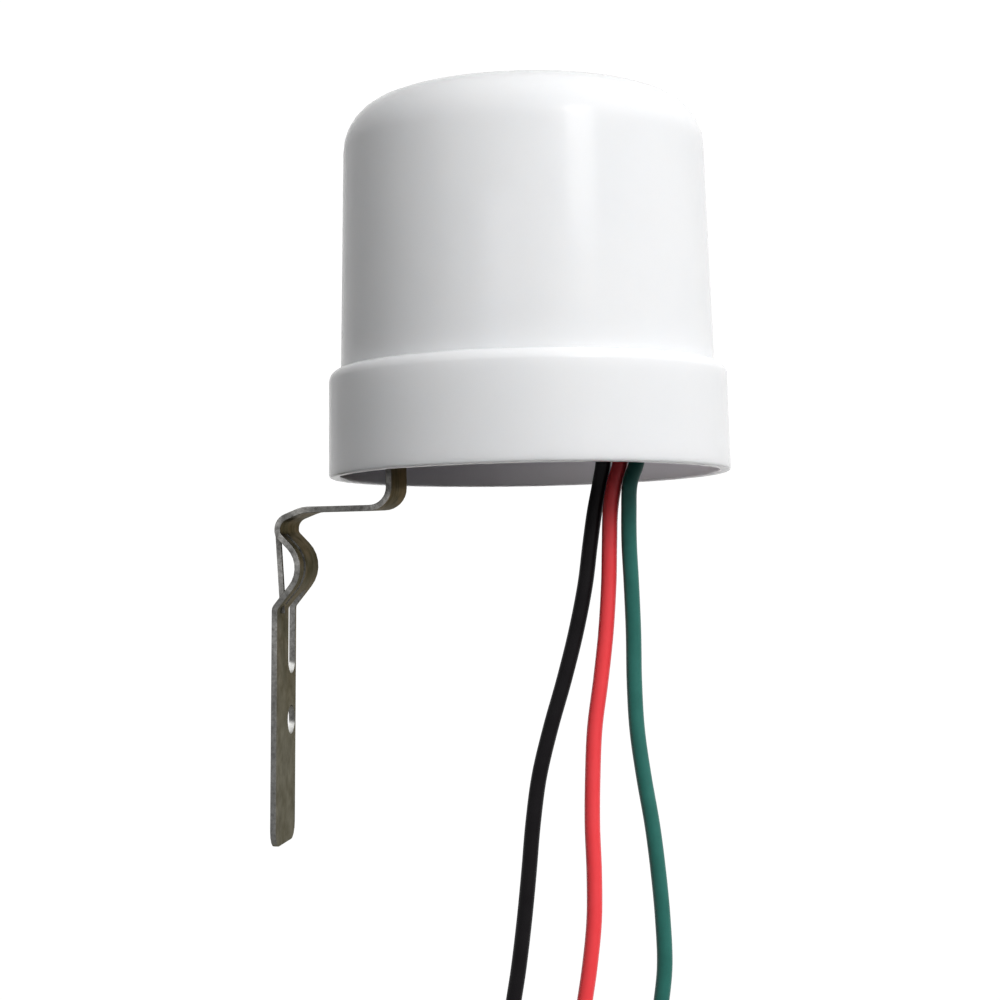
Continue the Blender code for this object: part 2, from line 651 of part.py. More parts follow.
def make_board():
    board = bmesh.new()
    put_cylinder(board, (0.0, 0.0), BOARD_RADIUS, BOARD_BOTTOM, BOARD_TOP, 48)
    part = add_part("circuit_board", board, new_material("board_green", (0.05, 0.22, 0.10), 0.45))
    holes = bmesh.new()
    low = BOARD_BOTTOM - 0.001
    high = BOARD_TOP + 0.001
    for place in all_pins():
        put_cylinder(holes, place, PIN_RADIUS + PIN_CLEARANCE, low, high, 8)
    for x in LEAD_XS:
        put_cylinder(holes, (x, 0.0), CONDUCTOR_RADIUS + GAP, low, high, 10)
    for place in post_places():
        put_cylinder(holes, place, BOARD_SCREW_RADIUS + GAP, low, high, 12)
    for place in boss_places():
        put_cylinder(holes, place, BOSS_RADIUS + BOARD_NOTCH_CLEARANCE, low, high, 20)
    boolean(part, add_tool("board_holes", holes), "DIFFERENCE")


def make_board_screws(steel):
    for i, place in enumerate(post_places(), 1):
        pan_head_screw(
            f"board_screw_{i}", place, BOARD_SCREW_RADIUS, BOARD_SCREW_HEAD_RADIUS,
            SEAT_Z - BOARD_SCREW_LENGTH, SEAT_Z, SEAT_Z + BOARD_SCREW_HEAD_HEIGHT, steel,
        )


def pin_tool(name, places, top):
    bm = bmesh.new()
    for place in places:
        put_cylinder(bm, place, PIN_RADIUS, PIN_BOTTOM, top, 8)
    return add_tool(name, bm)


def boxed_component(name, place, size, pins, material, edge):
    """A rectangular component that stands on the board on its leads."""
    bm = bmesh.new()
    low = (place[0] - size[0] / 2, place[1] - size[1] / 2, SEAT_Z)
    high = (place[0] + size[0] / 2, place[1] + size[1] / 2, SEAT_Z + size[2])
    put_box(bm, low, high)
    bmesh.ops.bevel(bm, geom=bm.edges[:], offset=edge, segments=2, affect="EDGES", profile=0.5)
    part = add_part(name, bm, material)
    boolean(part, pin_tool(name + "_leads", pins, SEAT_Z + 0.001), "UNION")


def make_can(material):
    corners = [
        (0.0, SEAT_Z + CAN_HEIGHT, 0.0),
        (CAN_RADIUS, SEAT_Z + CAN_HEIGHT, 0.0006),
        (CAN_RADIUS, SEAT_Z + 0.0022, 0.0),
        (CAN_RADIUS - 0.0004, SEAT_Z + 0.0017, 0.0),
        (CAN_RADIUS, SEAT_Z + 0.0012, 0.0),
        (CAN_RADIUS, SEAT_Z, 0.0003),
        (0.0, SEAT_Z, 0.0),
    ]
    can = turned("electrolytic_capacitor", rounded_path(corners, 45.0), material, 20)
    can.location = (CAN_PLACE[0], CAN_PLACE[1], 0.0)
    boolean(can, pin_tool("can_leads", pair(CAN_PLACE, CAN_PITCH), SEAT_Z + 0.001), "UNION")


def make_varistor(material):
    bm = bmesh.new()
    centre_z = SEAT_Z + VARISTOR_RADIUS
    place = Matrix.Translation((*VARISTOR_PLACE, centre_z)) @ Matrix.Rotation(math.pi / 2, 4, "X")
    bmesh.ops.create_cone(
        bm, cap_ends=True, segments=24, radius1=VARISTOR_RADIUS, radius2=VARISTOR_RADIUS,
        depth=VARISTOR_THICKNESS, matrix=place,
    )
    rims = [edge for edge in bm.edges if len(edge.link_faces) == 2 and edge.calc_face_angle() > 1.0]
    bmesh.ops.bevel(bm, geom=rims, offset=0.0008, segments=2, affect="EDGES", profile=0.5)
    part = add_part("varistor", bm, material)
    boolean(part, pin_tool("varistor_leads", pair(VARISTOR_PLACE, VARISTOR_PITCH), centre_z), "UNION")


def arch_lead(name, ends, height):
    """A bent wire from under the board, up, across and down again, as a hidden mesh object."""
    data = bpy.data.curves.new(name, "CURVE")
    data.dimensions = "3D"
    data.bevel_depth = PIN_RADIUS
    data.bevel_resolution = 2
    data.use_fill_caps = True
    start = Vector((*ends[0], PIN_BOTTOM))
    end = Vector((*ends[1], PIN_BOTTOM))
    inward = (end - start).normalized()
    bend = 0.0006
    rise = Vector((0.0, 0.0, height - PIN_BOTTOM))
    low_rise = rise - Vector((0.0, 0.0, bend))
    points = [start, start + low_rise, start + rise + inward * bend]
    points += [end + rise - inward * bend, end + low_rise, end]
    spline = data.splines.new("POLY")
    spline.points.add(len(points) - 1)
    for point, place in zip(spline.points, points):
        point.co = (*place, 1.0)
    curve = bpy.data.objects.new(name, data)
    TOOLS.objects.link(curve)
    mesh = bpy.data.meshes.new_from_object(curve)
    bpy.data.objects.remove(curve, do_unlink=True)
    bm = bmesh.new()
    bm.from_mesh(mesh)
    bmesh.ops.remove_doubles(bm, verts=bm.verts, dist=0.00001)
    return add_tool(name, bm)


def axial_component(name, centre, along, radius, length, pins, material):
    """A diode or resistor that lies on the board, on one bent wire through its body."""
    axis_z = SEAT_Z + radius
    turn = Matrix.Rotation(math.pi / 2, 4, "X" if along == "Y" else "Y")
    body = bmesh.new()
    place = Matrix.Translation((*centre, axis_z)) @ turn
    bmesh.ops.create_cone(
        body, cap_ends=True, segments=14, radius1=radius, radius2=radius, depth=length, matrix=place
    )
    part = add_part(name, body, material)
    boolean(part, arch_lead(name + "_lead", pins, axis_z), "UNION")


def make_transistor(material):
    outline = []
    x, y = TRANSISTOR_PLACE
    for i in range(13):
        angle = math.radians(-40 + 260 * i / 12)
        outline.append((x + TRANSISTOR_RADIUS * math.cos(angle), y + TRANSISTOR_RADIUS * math.sin(angle)))
    bm = bmesh.new()
    bottom = SEAT_Z + TRANSISTOR_STANDOFF
    put_prism(bm, outline, bottom, bottom + TRANSISTOR_HEIGHT)
    part = add_part("transistor", bm, material)
    boolean(part, pin_tool("transistor_leads", transistor_pins(), bottom + 0.001), "UNION")


def make_sensor(material, sleeve_material):
    bm = bmesh.new()
    put_cylinder(bm, SENSOR_PLACE, SENSOR_RADIUS, SENSOR_Z, SENSOR_Z + SENSOR_THICKNESS, 24)
    rims = [edge for edge in bm.edges if len(edge.link_faces) == 2 and edge.calc_face_angle() > 1.0]
    bmesh.ops.bevel(bm, geom=rims, offset=0.0003, segments=1, affect="EDGES")
    part = add_part("light_sensor", bm, material)
    boolean(part, pin_tool("sensor_leads", pair(SENSOR_PLACE, SENSOR_PITCH), SENSOR_Z + 0.001), "UNION")
    sleeve = bmesh.new()
    top = SENSOR_Z - SLEEVE_GAP_TO_SENSOR
    put_cylinder(sleeve, SENSOR_PLACE, SLEEVE_RADIUS, SEAT_Z, top, 20)
    tube = add_part("sensor_sleeve", sleeve, sleeve_material)
    bore = bmesh.new()
    put_cylinder(bore, SENSOR_PLACE, SLEEVE_RADIUS - SLEEVE_WALL, SEAT_Z - 0.001, top + 0.001, 20)
    boolean(tube, add_tool("sleeve_bore", bore), "DIFFERENCE")


def smooth_route(points, spacing):
    """Points along the smooth curve through the given points, about one spacing apart."""
    points = [Vector(point) for point in points]
    ends = [2 * points[0] - points[1], *points, 2 * points[-1] - points[-2]]
    path = [points[0]]
    for before, start, end, after in zip(ends, ends[1:], ends[2:], ends[3:]):
        pieces = max(1, round((end - start).length / spacing))
        leaving = start + (end - before) / 6
        arriving = end - (after - start) / 6
        path += interpolate_bezier(start, leaving, arriving, end, pieces + 1)[1:]
    return path


def make_lead(name, x, route, material):
    """One insulated lead: from under the board, through the plate's slot, then along its free route."""
    data = bpy.data.curves.new(name, "CURVE")
    data.dimensions = "3D"
    data.bevel_depth = LEAD_RADIUS
    data.bevel_resolution = 2
    data.use_fill_caps = True
    data.materials.append(material)
    points = [(x, 0.0, LEAD_TOP), (x, 0.0, PLATE_TOP), (x, 0.0, PLATE_BOTTOM - 0.001), *route]
    path = smooth_route(points, LEAD_POINT_SPACING)
    spline = data.splines.new("POLY")
    spline.points.add(len(path) - 1)
    for point, place in zip(spline.points, path):
        point.co = (*place, 1.0)
    lead = bpy.data.objects.new(name, data)
    PARTS.objects.link(lead)


def make_tinned_end(name, route, material):
    """Bare tinned strands beyond the insulation of a lead."""
    x, y, z = route[-1]
    bm = bmesh.new()
    put_cylinder(bm, (x, y), CONDUCTOR_RADIUS, z - GAP - TINNED_LENGTH, z - GAP, 12)
    add_part(name, bm, material)


def make_soldered_end(name, x, material):
    """Where a lead's strands pass through the board and are soldered on top."""
    strands = bmesh.new()
    put_cylinder(strands, (x, 0.0), CONDUCTOR_RADIUS, LEAD_TOP + GAP, SEAT_Z + SOLDER_HEIGHT / 2, 10)
    part = add_part(name, strands, material)
    cone = bmesh.new()
    put_cylinder(cone, (x, 0.0), SOLDER_RADIUS, SEAT_Z, SEAT_Z + SOLDER_HEIGHT, 14, SOLDER_RADIUS * 0.5)
    boolean(part, add_tool(name + "_cone", cone), "UNION")


def fixing_point():
    """The point on the leg's outer face, level with FIXING_POINT_Z on its centre line."""
    top = Vector(LEG_TOP)
    down = (Vector(LEG_BOTTOM) - top).normalized()
    middle = top + down * ((FIXING_POINT_Z - top.y) / down.y)
    outward = Vector((down.y, -down.x))
    face = middle + outward * (STRIP_THICKNESS / 2)
    return Vector((face.x, 0.0, face.y))


def hang_from_fixing_point():
    """Parents every object to one empty, so that the fixing point is the origin."""
    fixing = bpy.data.objects.new("fixing_point", None)
    fixing.location = -fixing_point()
    for obj in [*PARTS.objects, *TOOLS.objects]:
        obj.parent = fixing
    PARTS.objects.link(fixing)


def build():
    steel = new_material("screw_steel", (0.62, 0.62, 0.60), 0.35, 1.0)
    zinc = new_material("zinc_plate", (0.42, 0.41, 0.38), 0.38, 1.0)
    tin = new_material("tinned_copper", (0.72, 0.72, 0.70), 0.3, 1.0)
    black_case = new_material("black_case", (0.02, 0.02, 0.022), 0.4)
    make_cover()
    make_base_plate()
    make_cover_screws(steel)
    make_bracket(zinc)
    make_bracket_fixing(steel)
    make_board()
    make_board_screws(steel)
    boxed_component("relay", RELAY_PLACE, RELAY_SIZE, relay_pins(), black_case, RELAY_EDGE)
    film_pins = pair(FILM_CAPACITOR_PLACE, FILM_CAPACITOR_PITCH)
    yellow = new_material("film_yellow", (0.75, 0.55, 0.08), 0.4)
    boxed_component(
        "film_capacitor", FILM_CAPACITOR_PLACE, FILM_CAPACITOR_SIZE, film_pins, yellow, RELAY_EDGE
    )
    make_can(new_material("can_sleeve", (0.03, 0.05, 0.12), 0.35))
    make_varistor(new_material("varistor_blue", (0.05, 0.16, 0.45), 0.35))
    for i, x in enumerate(DIODE_XS):
        axial_component(
            f"rectifier_diode_{i + 1}", (x, DIODE_Y), "Y", DIODE_RADIUS, DIODE_LENGTH,
            diode_pins()[2 * i:2 * i + 2], black_case,
        )
    beige = new_material("resistor_beige", (0.62, 0.50, 0.33), 0.5)
    for i, y in enumerate(RESISTOR_YS):
        axial_component(
            f"resistor_{i + 1}", (RESISTOR_X, y), "X", RESISTOR_RADIUS, RESISTOR_LENGTH,
            resistor_pins()[2 * i:2 * i + 2], beige,
        )
    make_transistor(black_case)
    sensor_red = new_material("sensor_face", (0.55, 0.22, 0.12), 0.4)
    make_sensor(sensor_red, new_material("sleeve_black", (0.03, 0.03, 0.03), 0.55))
    leads = (
        ("black_lead", BLACK_ROUTE, new_material("lead_black", (0.012, 0.011, 0.012), 0.35)),
        ("red_lead", RED_ROUTE, new_material("lead_red", (0.85, 0.06, 0.07), 0.35)),
        ("green_lead", GREEN_ROUTE, new_material("lead_green", (0.02, 0.19, 0.13), 0.4)),
    )
    for x, (name, route, material) in zip(LEAD_XS, leads):
        make_lead(name, x, route, material)
        make_soldered_end(name + "_solder", x, tin)
        make_tinned_end(name + "_tip", route, tin)


clear_scene()
PARTS = new_collection("photocell_switch")
TOOLS = new_collection("cutters", hidden=True)
build()
hang_from_fixing_point()
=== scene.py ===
"""The looks of the photocell switch: finishes, leads at their real length, studio and camera."""

import json
import math

import bmesh
import bpy
from mathutils import Matrix, Vector
from mathutils.geometry import interpolate_bezier


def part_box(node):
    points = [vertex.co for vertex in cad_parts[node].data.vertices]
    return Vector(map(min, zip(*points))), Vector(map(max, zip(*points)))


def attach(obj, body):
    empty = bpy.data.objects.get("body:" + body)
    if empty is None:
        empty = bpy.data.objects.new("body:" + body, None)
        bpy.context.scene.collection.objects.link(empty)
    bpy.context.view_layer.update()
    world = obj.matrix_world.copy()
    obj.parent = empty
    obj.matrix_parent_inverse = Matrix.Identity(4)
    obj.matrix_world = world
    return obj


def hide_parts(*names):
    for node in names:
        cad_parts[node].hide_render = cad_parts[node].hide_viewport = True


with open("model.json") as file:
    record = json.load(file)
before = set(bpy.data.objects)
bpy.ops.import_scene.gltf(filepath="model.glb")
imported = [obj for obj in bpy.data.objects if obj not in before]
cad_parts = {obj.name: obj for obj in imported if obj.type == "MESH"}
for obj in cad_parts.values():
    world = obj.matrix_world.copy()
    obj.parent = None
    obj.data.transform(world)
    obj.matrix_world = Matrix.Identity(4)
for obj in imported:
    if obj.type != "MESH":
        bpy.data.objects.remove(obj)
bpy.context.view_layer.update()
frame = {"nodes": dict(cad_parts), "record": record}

# The row's origin is the fixing point on the leg; the cap's axis and rim lie here, in metres
COVER_LOW, COVER_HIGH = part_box("cover")
AXIS_X = (COVER_LOW[0] + COVER_HIGH[0]) / 2
RIM_Z = COVER_LOW[2]

# Camera, worked out from the photo: metres from the cap's axis and rim, and degrees
CAMERA_PLACE = (0.05429, -0.3963, -0.0246)
CAMERA_HEADING = 8.58
CAMERA_TILT = 2.90
CAMERA_ROLL = -1.12
CAMERA_CLIP = (0.01, 20.0)
FOCAL_PIXELS = 2229.0
FRAME_PIXELS = 1000.0
SENSOR_WIDTH = 36.0

# Leads, and the faces of the base plate that they pass through
LEAD_RADIUS = 0.0014
LEAD_PITCH = 0.0032
FIRST_LEAD_X = 0.0132
LEAD_TOP = 0.0144
PLATE_TOP = 0.0084
PLATE_BOTTOM = 0.0060
LEAD_BELOW_PLATE = 0.001
LEAD_STEPS = 8
LEAD_ROUNDNESS = 6
LENGTH_STEPS = 20

# Routes of the leads below the plate, as X, Y and Z from the cap's axis and rim
ROUTES = {
    "black": (
        (0.0132, 0.0006, 0.0017), (0.0124, 0.0012, -0.0022), (0.0114, 0.0011, -0.0070),
        (0.0105, 0.0008, -0.0129), (0.0095, 0.0005, -0.0200), (0.0077, 0.0002, -0.0284), (0.0054, 0.0, -0.0369),
        (0.0028, 0.0, -0.0454), (0.0006, 0.0, -0.0539), (-0.0007, 0.0, -0.0624), (-0.0016, 0.0, -0.0709),
        (-0.0026, 0.0, -0.0794), (-0.0038, 0.0, -0.0879), (-0.0053, 0.0, -0.0970), (-0.0063, 0.0, -0.1090),
        (-0.0063, 0.0, -0.1240), (-0.0053, 0.0, -0.1400),
    ),
    "red": (
        (0.0163, 0.0, 0.0017), (0.0152, -0.0002, -0.0022), (0.0144, -0.0002, -0.0070),
        (0.0141, -0.0001, -0.0129), (0.0138, 0.0, -0.0200), (0.0131, 0.0, -0.0285), (0.0120, 0.0, -0.0370),
        (0.01075, 0.0, -0.0454), (0.0102, 0.0, -0.0540), (0.00995, 0.0, -0.0625), (0.0101, 0.0, -0.0710),
        (0.0099, 0.0, -0.0794), (0.0089, 0.0, -0.0878), (0.0074, 0.0, -0.0970), (0.0061, 0.0, -0.1090),
        (0.0055, 0.0, -0.1240), (0.0057, 0.0, -0.1400),
    ),
    "green": (
        (0.01935, -0.0007, 0.0017), (0.0181, -0.0012, -0.0022), (0.0178, -0.0010, -0.0070),
        (0.0177, -0.0007, -0.0129), (0.0179, -0.0004, -0.0200), (0.01805, -0.0001, -0.0285),
        (0.0180, 0.0, -0.0371), (0.0183, 0.0, -0.0456), (0.0193, 0.0, -0.0540), (0.0206, 0.0, -0.0625),
        (0.0215, 0.0, -0.0709), (0.0221, 0.0, -0.0794), (0.0222, 0.0, -0.0878), (0.0210, 0.0, -0.0970),
        (0.0196, 0.0, -0.1090), (0.0188, 0.0, -0.1240), (0.0188, 0.0, -0.1400),
    ),
}

# Dark tone, light tone, roughness and specular level of each lead
LEAD_FINISHES = {
    "black": ((0.006, 0.005, 0.006), (0.010, 0.009, 0.010), 0.40, 0.08),
    "red": ((0.98, 0.052, 0.062), (1.00, 0.062, 0.074), 0.36, 0.35),
    "green": ((0.018, 0.130, 0.106), (0.025, 0.160, 0.132), 0.34, 0.18),
}

# Smooth copies of the solids: metres and degrees
WELD_DISTANCE = 0.000001
SHARP_ANGLE = 32.0

# Noise is mapped from this middle part of its range
NOISE_LOW = 0.3
NOISE_HIGH = 0.7

# Noise textures: scale, detail and roughness
CAP_CLOUDS = (60.0, 2.0)
CAP_FINE = (900.0, 3.0)
CAP_WAVES = (45.0, 2.0, 0.4)
ZINC_MOTTLE = (350.0, 5.0, 0.6)
ZINC_SPECKS = (1300.0, 4.0, 0.7)
ZINC_PATCHES = (110.0, 3.0, 0.55)
ZINC_DRAWN = (900.0, 4.0, 0.6)
METAL_FINE = (1500.0, 4.0)
PLASTIC_FINE = (1200.0, 3.0)
LEAD_CLOUDS = (220.0, 3.0)
LEAD_FINE = (1400.0, 4.0)
PAPER_FIBRES = (40.0, 4.0)

# The cap's white moulding, with the depth in metres that light reaches from outside and from inside, and a painted
# lilac shade on its inner walls
CAP_TONES = ((0.875, 0.885, 0.905), (0.900, 0.905, 0.920))
CAP_ROUGHNESS = (0.17, 0.23)
CAP_SPECULAR = 0.2
CAP_IOR = 1.49
CAP_WAVE_HEIGHT = 0.00012
SCATTER_COLOURS = (1.0, 0.97, 0.95)
SCATTER_OUTSIDE = 0.003
SCATTER_INSIDE = 0.013
INSIDE_PAINTED_SHADE = (0.90, 0.81, 0.93, 1.0)
INSIDE_FROM_AXIS = 0.010

# Zinc from dark to light, for the cut edges and for the rolled faces, on the arm and on the leg; the arm's darker
# tones are painted shade of the cap, which fades out between the two depths below the rim
SHADED_ARM_TONES = (
    ((0.052, 0.050, 0.047), (0.150, 0.148, 0.142)),
    ((0.026, 0.024, 0.018), (0.078, 0.071, 0.055)),
)
LIT_LEG_TONES = (
    ((0.078, 0.077, 0.074), (0.165, 0.163, 0.157)),
    ((0.120, 0.116, 0.096), (0.218, 0.211, 0.178)),
)
ZINC_ROUGHNESS = (0.34, 0.50)
ZINC_GRAZING = (0.38, 0.36, 0.31, 1.0)
ZINC_GRAIN = 0.00002
DRAWN_STRETCH = (1.0, 1.0, 0.08)
ARM_TOP_BELOW_RIM = 0.002
LEG_BELOW_RIM = 0.045

# The arm's brighter patches: gains of the edge's colour, which paint light on the arm's edges, and of the face's
# colour, a reddish-brown tone; their contrast and their place
EDGE_PAINTED_LIGHT = (2.6, 2.6, 2.6, 1.0)
FACE_PATCH = (2.4, 1.95, 1.7, 1.0)
PATCH_RANGE = (-0.8, 1.8)
PATCH_SHIFT = 1.37

# Painted highlight: a near-white tone on what faces up inside the leg's slot and hole, which start this far below
# the rim
PAINTED_HIGHLIGHT_TONE = (0.82, 0.82, 0.80, 1.0)
HIGHLIGHT_FACING = (0.05, 0.6)
HIGHLIGHT_BELOW_RIM = 0.030

# Material name, colour and roughness by the record's material slots
METALS = {
    "steel": ("plain_steel", (0.56, 0.56, 0.54), 0.32),
    "tin": ("tinned_strands", (0.62, 0.61, 0.58), 0.30),
}
PLASTICS = {
    "base_plate": ("plate_moulding", (0.30, 0.30, 0.34), 0.45),
    "board": ("solder_mask", (0.04, 0.20, 0.09), 0.35),
    "black_case": ("black_case", (0.022, 0.022, 0.024), 0.42),
    "yellow_case": ("film_case", (0.72, 0.52, 0.08), 0.35),
    "can_sleeve": ("can_sleeve", (0.03, 0.05, 0.12), 0.3),
    "varistor_coat": ("varistor_coat", (0.05, 0.16, 0.42), 0.35),
    "resistor_coat": ("resistor_coat", (0.60, 0.48, 0.32), 0.45),
    "sensor_coat": ("sensor_coat", (0.55, 0.24, 0.12), 0.25),
    "sleeve": ("sensor_sleeve", (0.03, 0.03, 0.03), 0.5),
}
METAL_DARKEST = 0.86
PLASTIC_DARKEST = 0.9
PLASTIC_GRAIN = 0.00003

# How far roughness runs below and above its value
METAL_SPREAD = (0.06, 0.08)
PLASTIC_SPREAD = (0.05, 0.05)
LEAD_SPREAD = (0.06, 0.08)

# Studio: the world's brightness is STUDIO_LEVEL plus the direction's share of STUDIO_LEAN
STUDIO_LEVEL = 0.86
STUDIO_LEAN = (1.22, -0.22, -0.66)
STUDIO_DARKEST = 0.03
STUDIO_BELOW = 0.02
HORIZON_FADE = (-0.12, 0.18)
ROOM_STRENGTH = 1.0
WHITE = (1.0, 1.0, 1.0, 1.0)

# Lamps: place from the cap's axis and rim, both aimed at LAMP_TARGET
LAMP_TARGET = (0.0, 0.0, 0.035)
SOFTBOX_PLACE = (0.66, -0.69, 0.42)
SOFTBOX_SIZE = (0.30, 0.30)
SOFTBOX_POWER = 3.1
BANK_PLACE = (-0.02, -0.32, 0.17)
BANK_SIZE = (0.50, 0.20)
BANK_POWER = 0.37

# White paper under and behind the object
PAPER_WIDTH = 0.86
PAPER_FRONT = 0.5
PAPER_BACK = 1.3
PAPER_BEND = 0.45
PAPER_BEND_STEPS = 12
PAPER_TOP = 2.5
PAPER_BELOW_RIM = 0.90
PAPER_TONES = ((0.13, 0.13, 0.13), (0.15, 0.15, 0.15))
PAPER_GLOW = (0.85, 0.97)


def at(x, y, z):
    """A point given from the cap's axis and rim, in the row's frame."""
    return Vector((AXIS_X + x, y, RIM_Z + z))


def new_material(name):
    material = bpy.data.materials.new(name)
    material.use_nodes = True
    tree = material.node_tree
    return material, tree, tree.nodes["Principled BSDF"]


def fill(tree, place, value):
    """Sets an input to a plain value, or links it to another node's output."""
    if isinstance(value, bpy.types.NodeSocket):
        tree.links.new(value, place)
    else:
        place.default_value = value


def calculate(tree, operation, *values):
    """The result of a math node."""
    node = tree.nodes.new("ShaderNodeMath")
    node.operation = operation
    for place, value in zip(node.inputs, values):
        fill(tree, place, value)
    return node.outputs["Value"]


def calculate_vector(tree, operation, *values):
    """The result of a vector math node: a number for a dot product, and otherwise a vector."""
    node = tree.nodes.new("ShaderNodeVectorMath")
    node.operation = operation
    for place, value in zip(node.inputs, values):
        fill(tree, place, value)
    return node.outputs["Value" if operation == "DOT_PRODUCT" else "Vector"]


def map_range(tree, source, before, after=(0.0, 1.0), smooth=False):
    """The source's value moved from one range to another, and kept inside it."""
    node = tree.nodes.new("ShaderNodeMapRange")
    node.interpolation_type = "SMOOTHSTEP" if smooth else "LINEAR"
    node.inputs["From Min"].default_value, node.inputs["From Max"].default_value = before
    node.inputs["To Min"].default_value, node.inputs["To Max"].default_value = after
    tree.links.new(source, node.inputs["Value"])
    return node.outputs["Result"]


def mix(tree, share, first, second, blend="MIX"):
    """A blend of two colours."""
    node = tree.nodes.new("ShaderNodeMix")
    node.data_type = "RGBA"
    node.blend_type = blend
    fill(tree, node.inputs["Factor"], share)
    fill(tree, node.inputs["A"], first)
    fill(tree, node.inputs["B"], second)
    return node.outputs["Result"]


def separate(tree, source):
    node = tree.nodes.new("ShaderNodeSeparateXYZ")
    tree.links.new(source, node.inputs["Vector"])
    return node.outputs


def noise(tree, scale, detail=3.0, roughness=0.55, stretch=(1.0, 1.0, 1.0), shift=0.0):
    """The value of a noise texture in object coordinates, in metres."""
    place = tree.nodes.new("ShaderNodeTexCoord")
    mapping = tree.nodes.new("ShaderNodeMapping")
    mapping.inputs["Scale"].default_value = stretch
    mapping.inputs["Location"].default_value = (shift, 0.0, 0.0)
    tree.links.new(place.outputs["Object"], mapping.inputs["Vector"])
    texture = tree.nodes.new("ShaderNodeTexNoise")
    texture.inputs["Scale"].default_value = scale
    texture.inputs["Detail"].default_value = detail
    texture.inputs["Roughness"].default_value = roughness
    tree.links.new(mapping.outputs["Vector"], texture.inputs["Vector"])
    return texture.outputs["Fac"]


def ramp(tree, source, low, high):
    """Colours from low to high along a texture's value."""
    node = tree.nodes.new("ShaderNodeValToRGB")
    ends = node.color_ramp.elements
    ends[0].position, ends[0].color = NOISE_LOW, (*low, 1.0)
    ends[1].position, ends[1].color = NOISE_HIGH, (*high, 1.0)
    tree.links.new(source, node.inputs["Fac"])
    return node.outputs["Color"]


def spread(tree, source, low, high):
    """Numbers from low to high along a texture's value."""
    return map_range(tree, source, (NOISE_LOW, NOISE_HIGH), (low, high))


def roughen(tree, shader, source, roughness, either_side):
    """Roughness that varies with a texture round its value."""
    below, above = either_side
    tree.links.new(spread(tree, source, roughness - below, roughness + above), shader.inputs["Roughness"])


def bump(tree, shader, source, distance, strength):
    node = tree.nodes.new("ShaderNodeBump")
    node.inputs["Distance"].default_value = distance
    node.inputs["Strength"].default_value = strength
    tree.links.new(source, node.inputs["Height"])
    tree.links.new(node.outputs["Normal"], shader.inputs["Normal"])


def inside_share(tree):
    """1 on the cap's inner walls, which face its axis, and 0 on the outside."""
    place = tree.nodes.new("ShaderNodeTexCoord")
    outward = calculate_vector(tree, "SUBTRACT", place.outputs["Object"], (AXIS_X, 0.0, RIM_Z))
    flat = calculate_vector(tree, "MULTIPLY", outward, (1.0, 1.0, 0.0))
    facing = calculate_vector(tree, "DOT_PRODUCT", flat, place.outputs["Normal"])
    return map_range(tree, facing, (-INSIDE_FROM_AXIS, 0.0), (1.0, 0.0))


def cap_material():
    """Glossy white moulding that scatters light, more of it through the thin wall from inside, with painted lilac
    shade on its inner walls.
    """
    material, tree, shader = new_material("cap_white_gloss")
    cloudy = ramp(tree, noise(tree, *CAP_CLOUDS), *CAP_TONES)
    inside = inside_share(tree)
    # Painted shade: the inner walls are darkened and tinted lilac
    tree.links.new(mix(tree, inside, cloudy, INSIDE_PAINTED_SHADE, "MULTIPLY"), shader.inputs["Base Color"])
    tree.links.new(spread(tree, noise(tree, *CAP_FINE), *CAP_ROUGHNESS), shader.inputs["Roughness"])
    shader.inputs["Subsurface Weight"].default_value = 1.0
    shader.inputs["Subsurface Radius"].default_value = SCATTER_COLOURS
    reach = map_range(tree, inside, (0.0, 1.0), (SCATTER_OUTSIDE, SCATTER_INSIDE))
    tree.links.new(reach, shader.inputs["Subsurface Scale"])
    shader.inputs["IOR"].default_value = CAP_IOR
    shader.inputs["Specular IOR Level"].default_value = CAP_SPECULAR
    bump(tree, shader, noise(tree, *CAP_WAVES), CAP_WAVE_HEIGHT, 0.5)
    return material


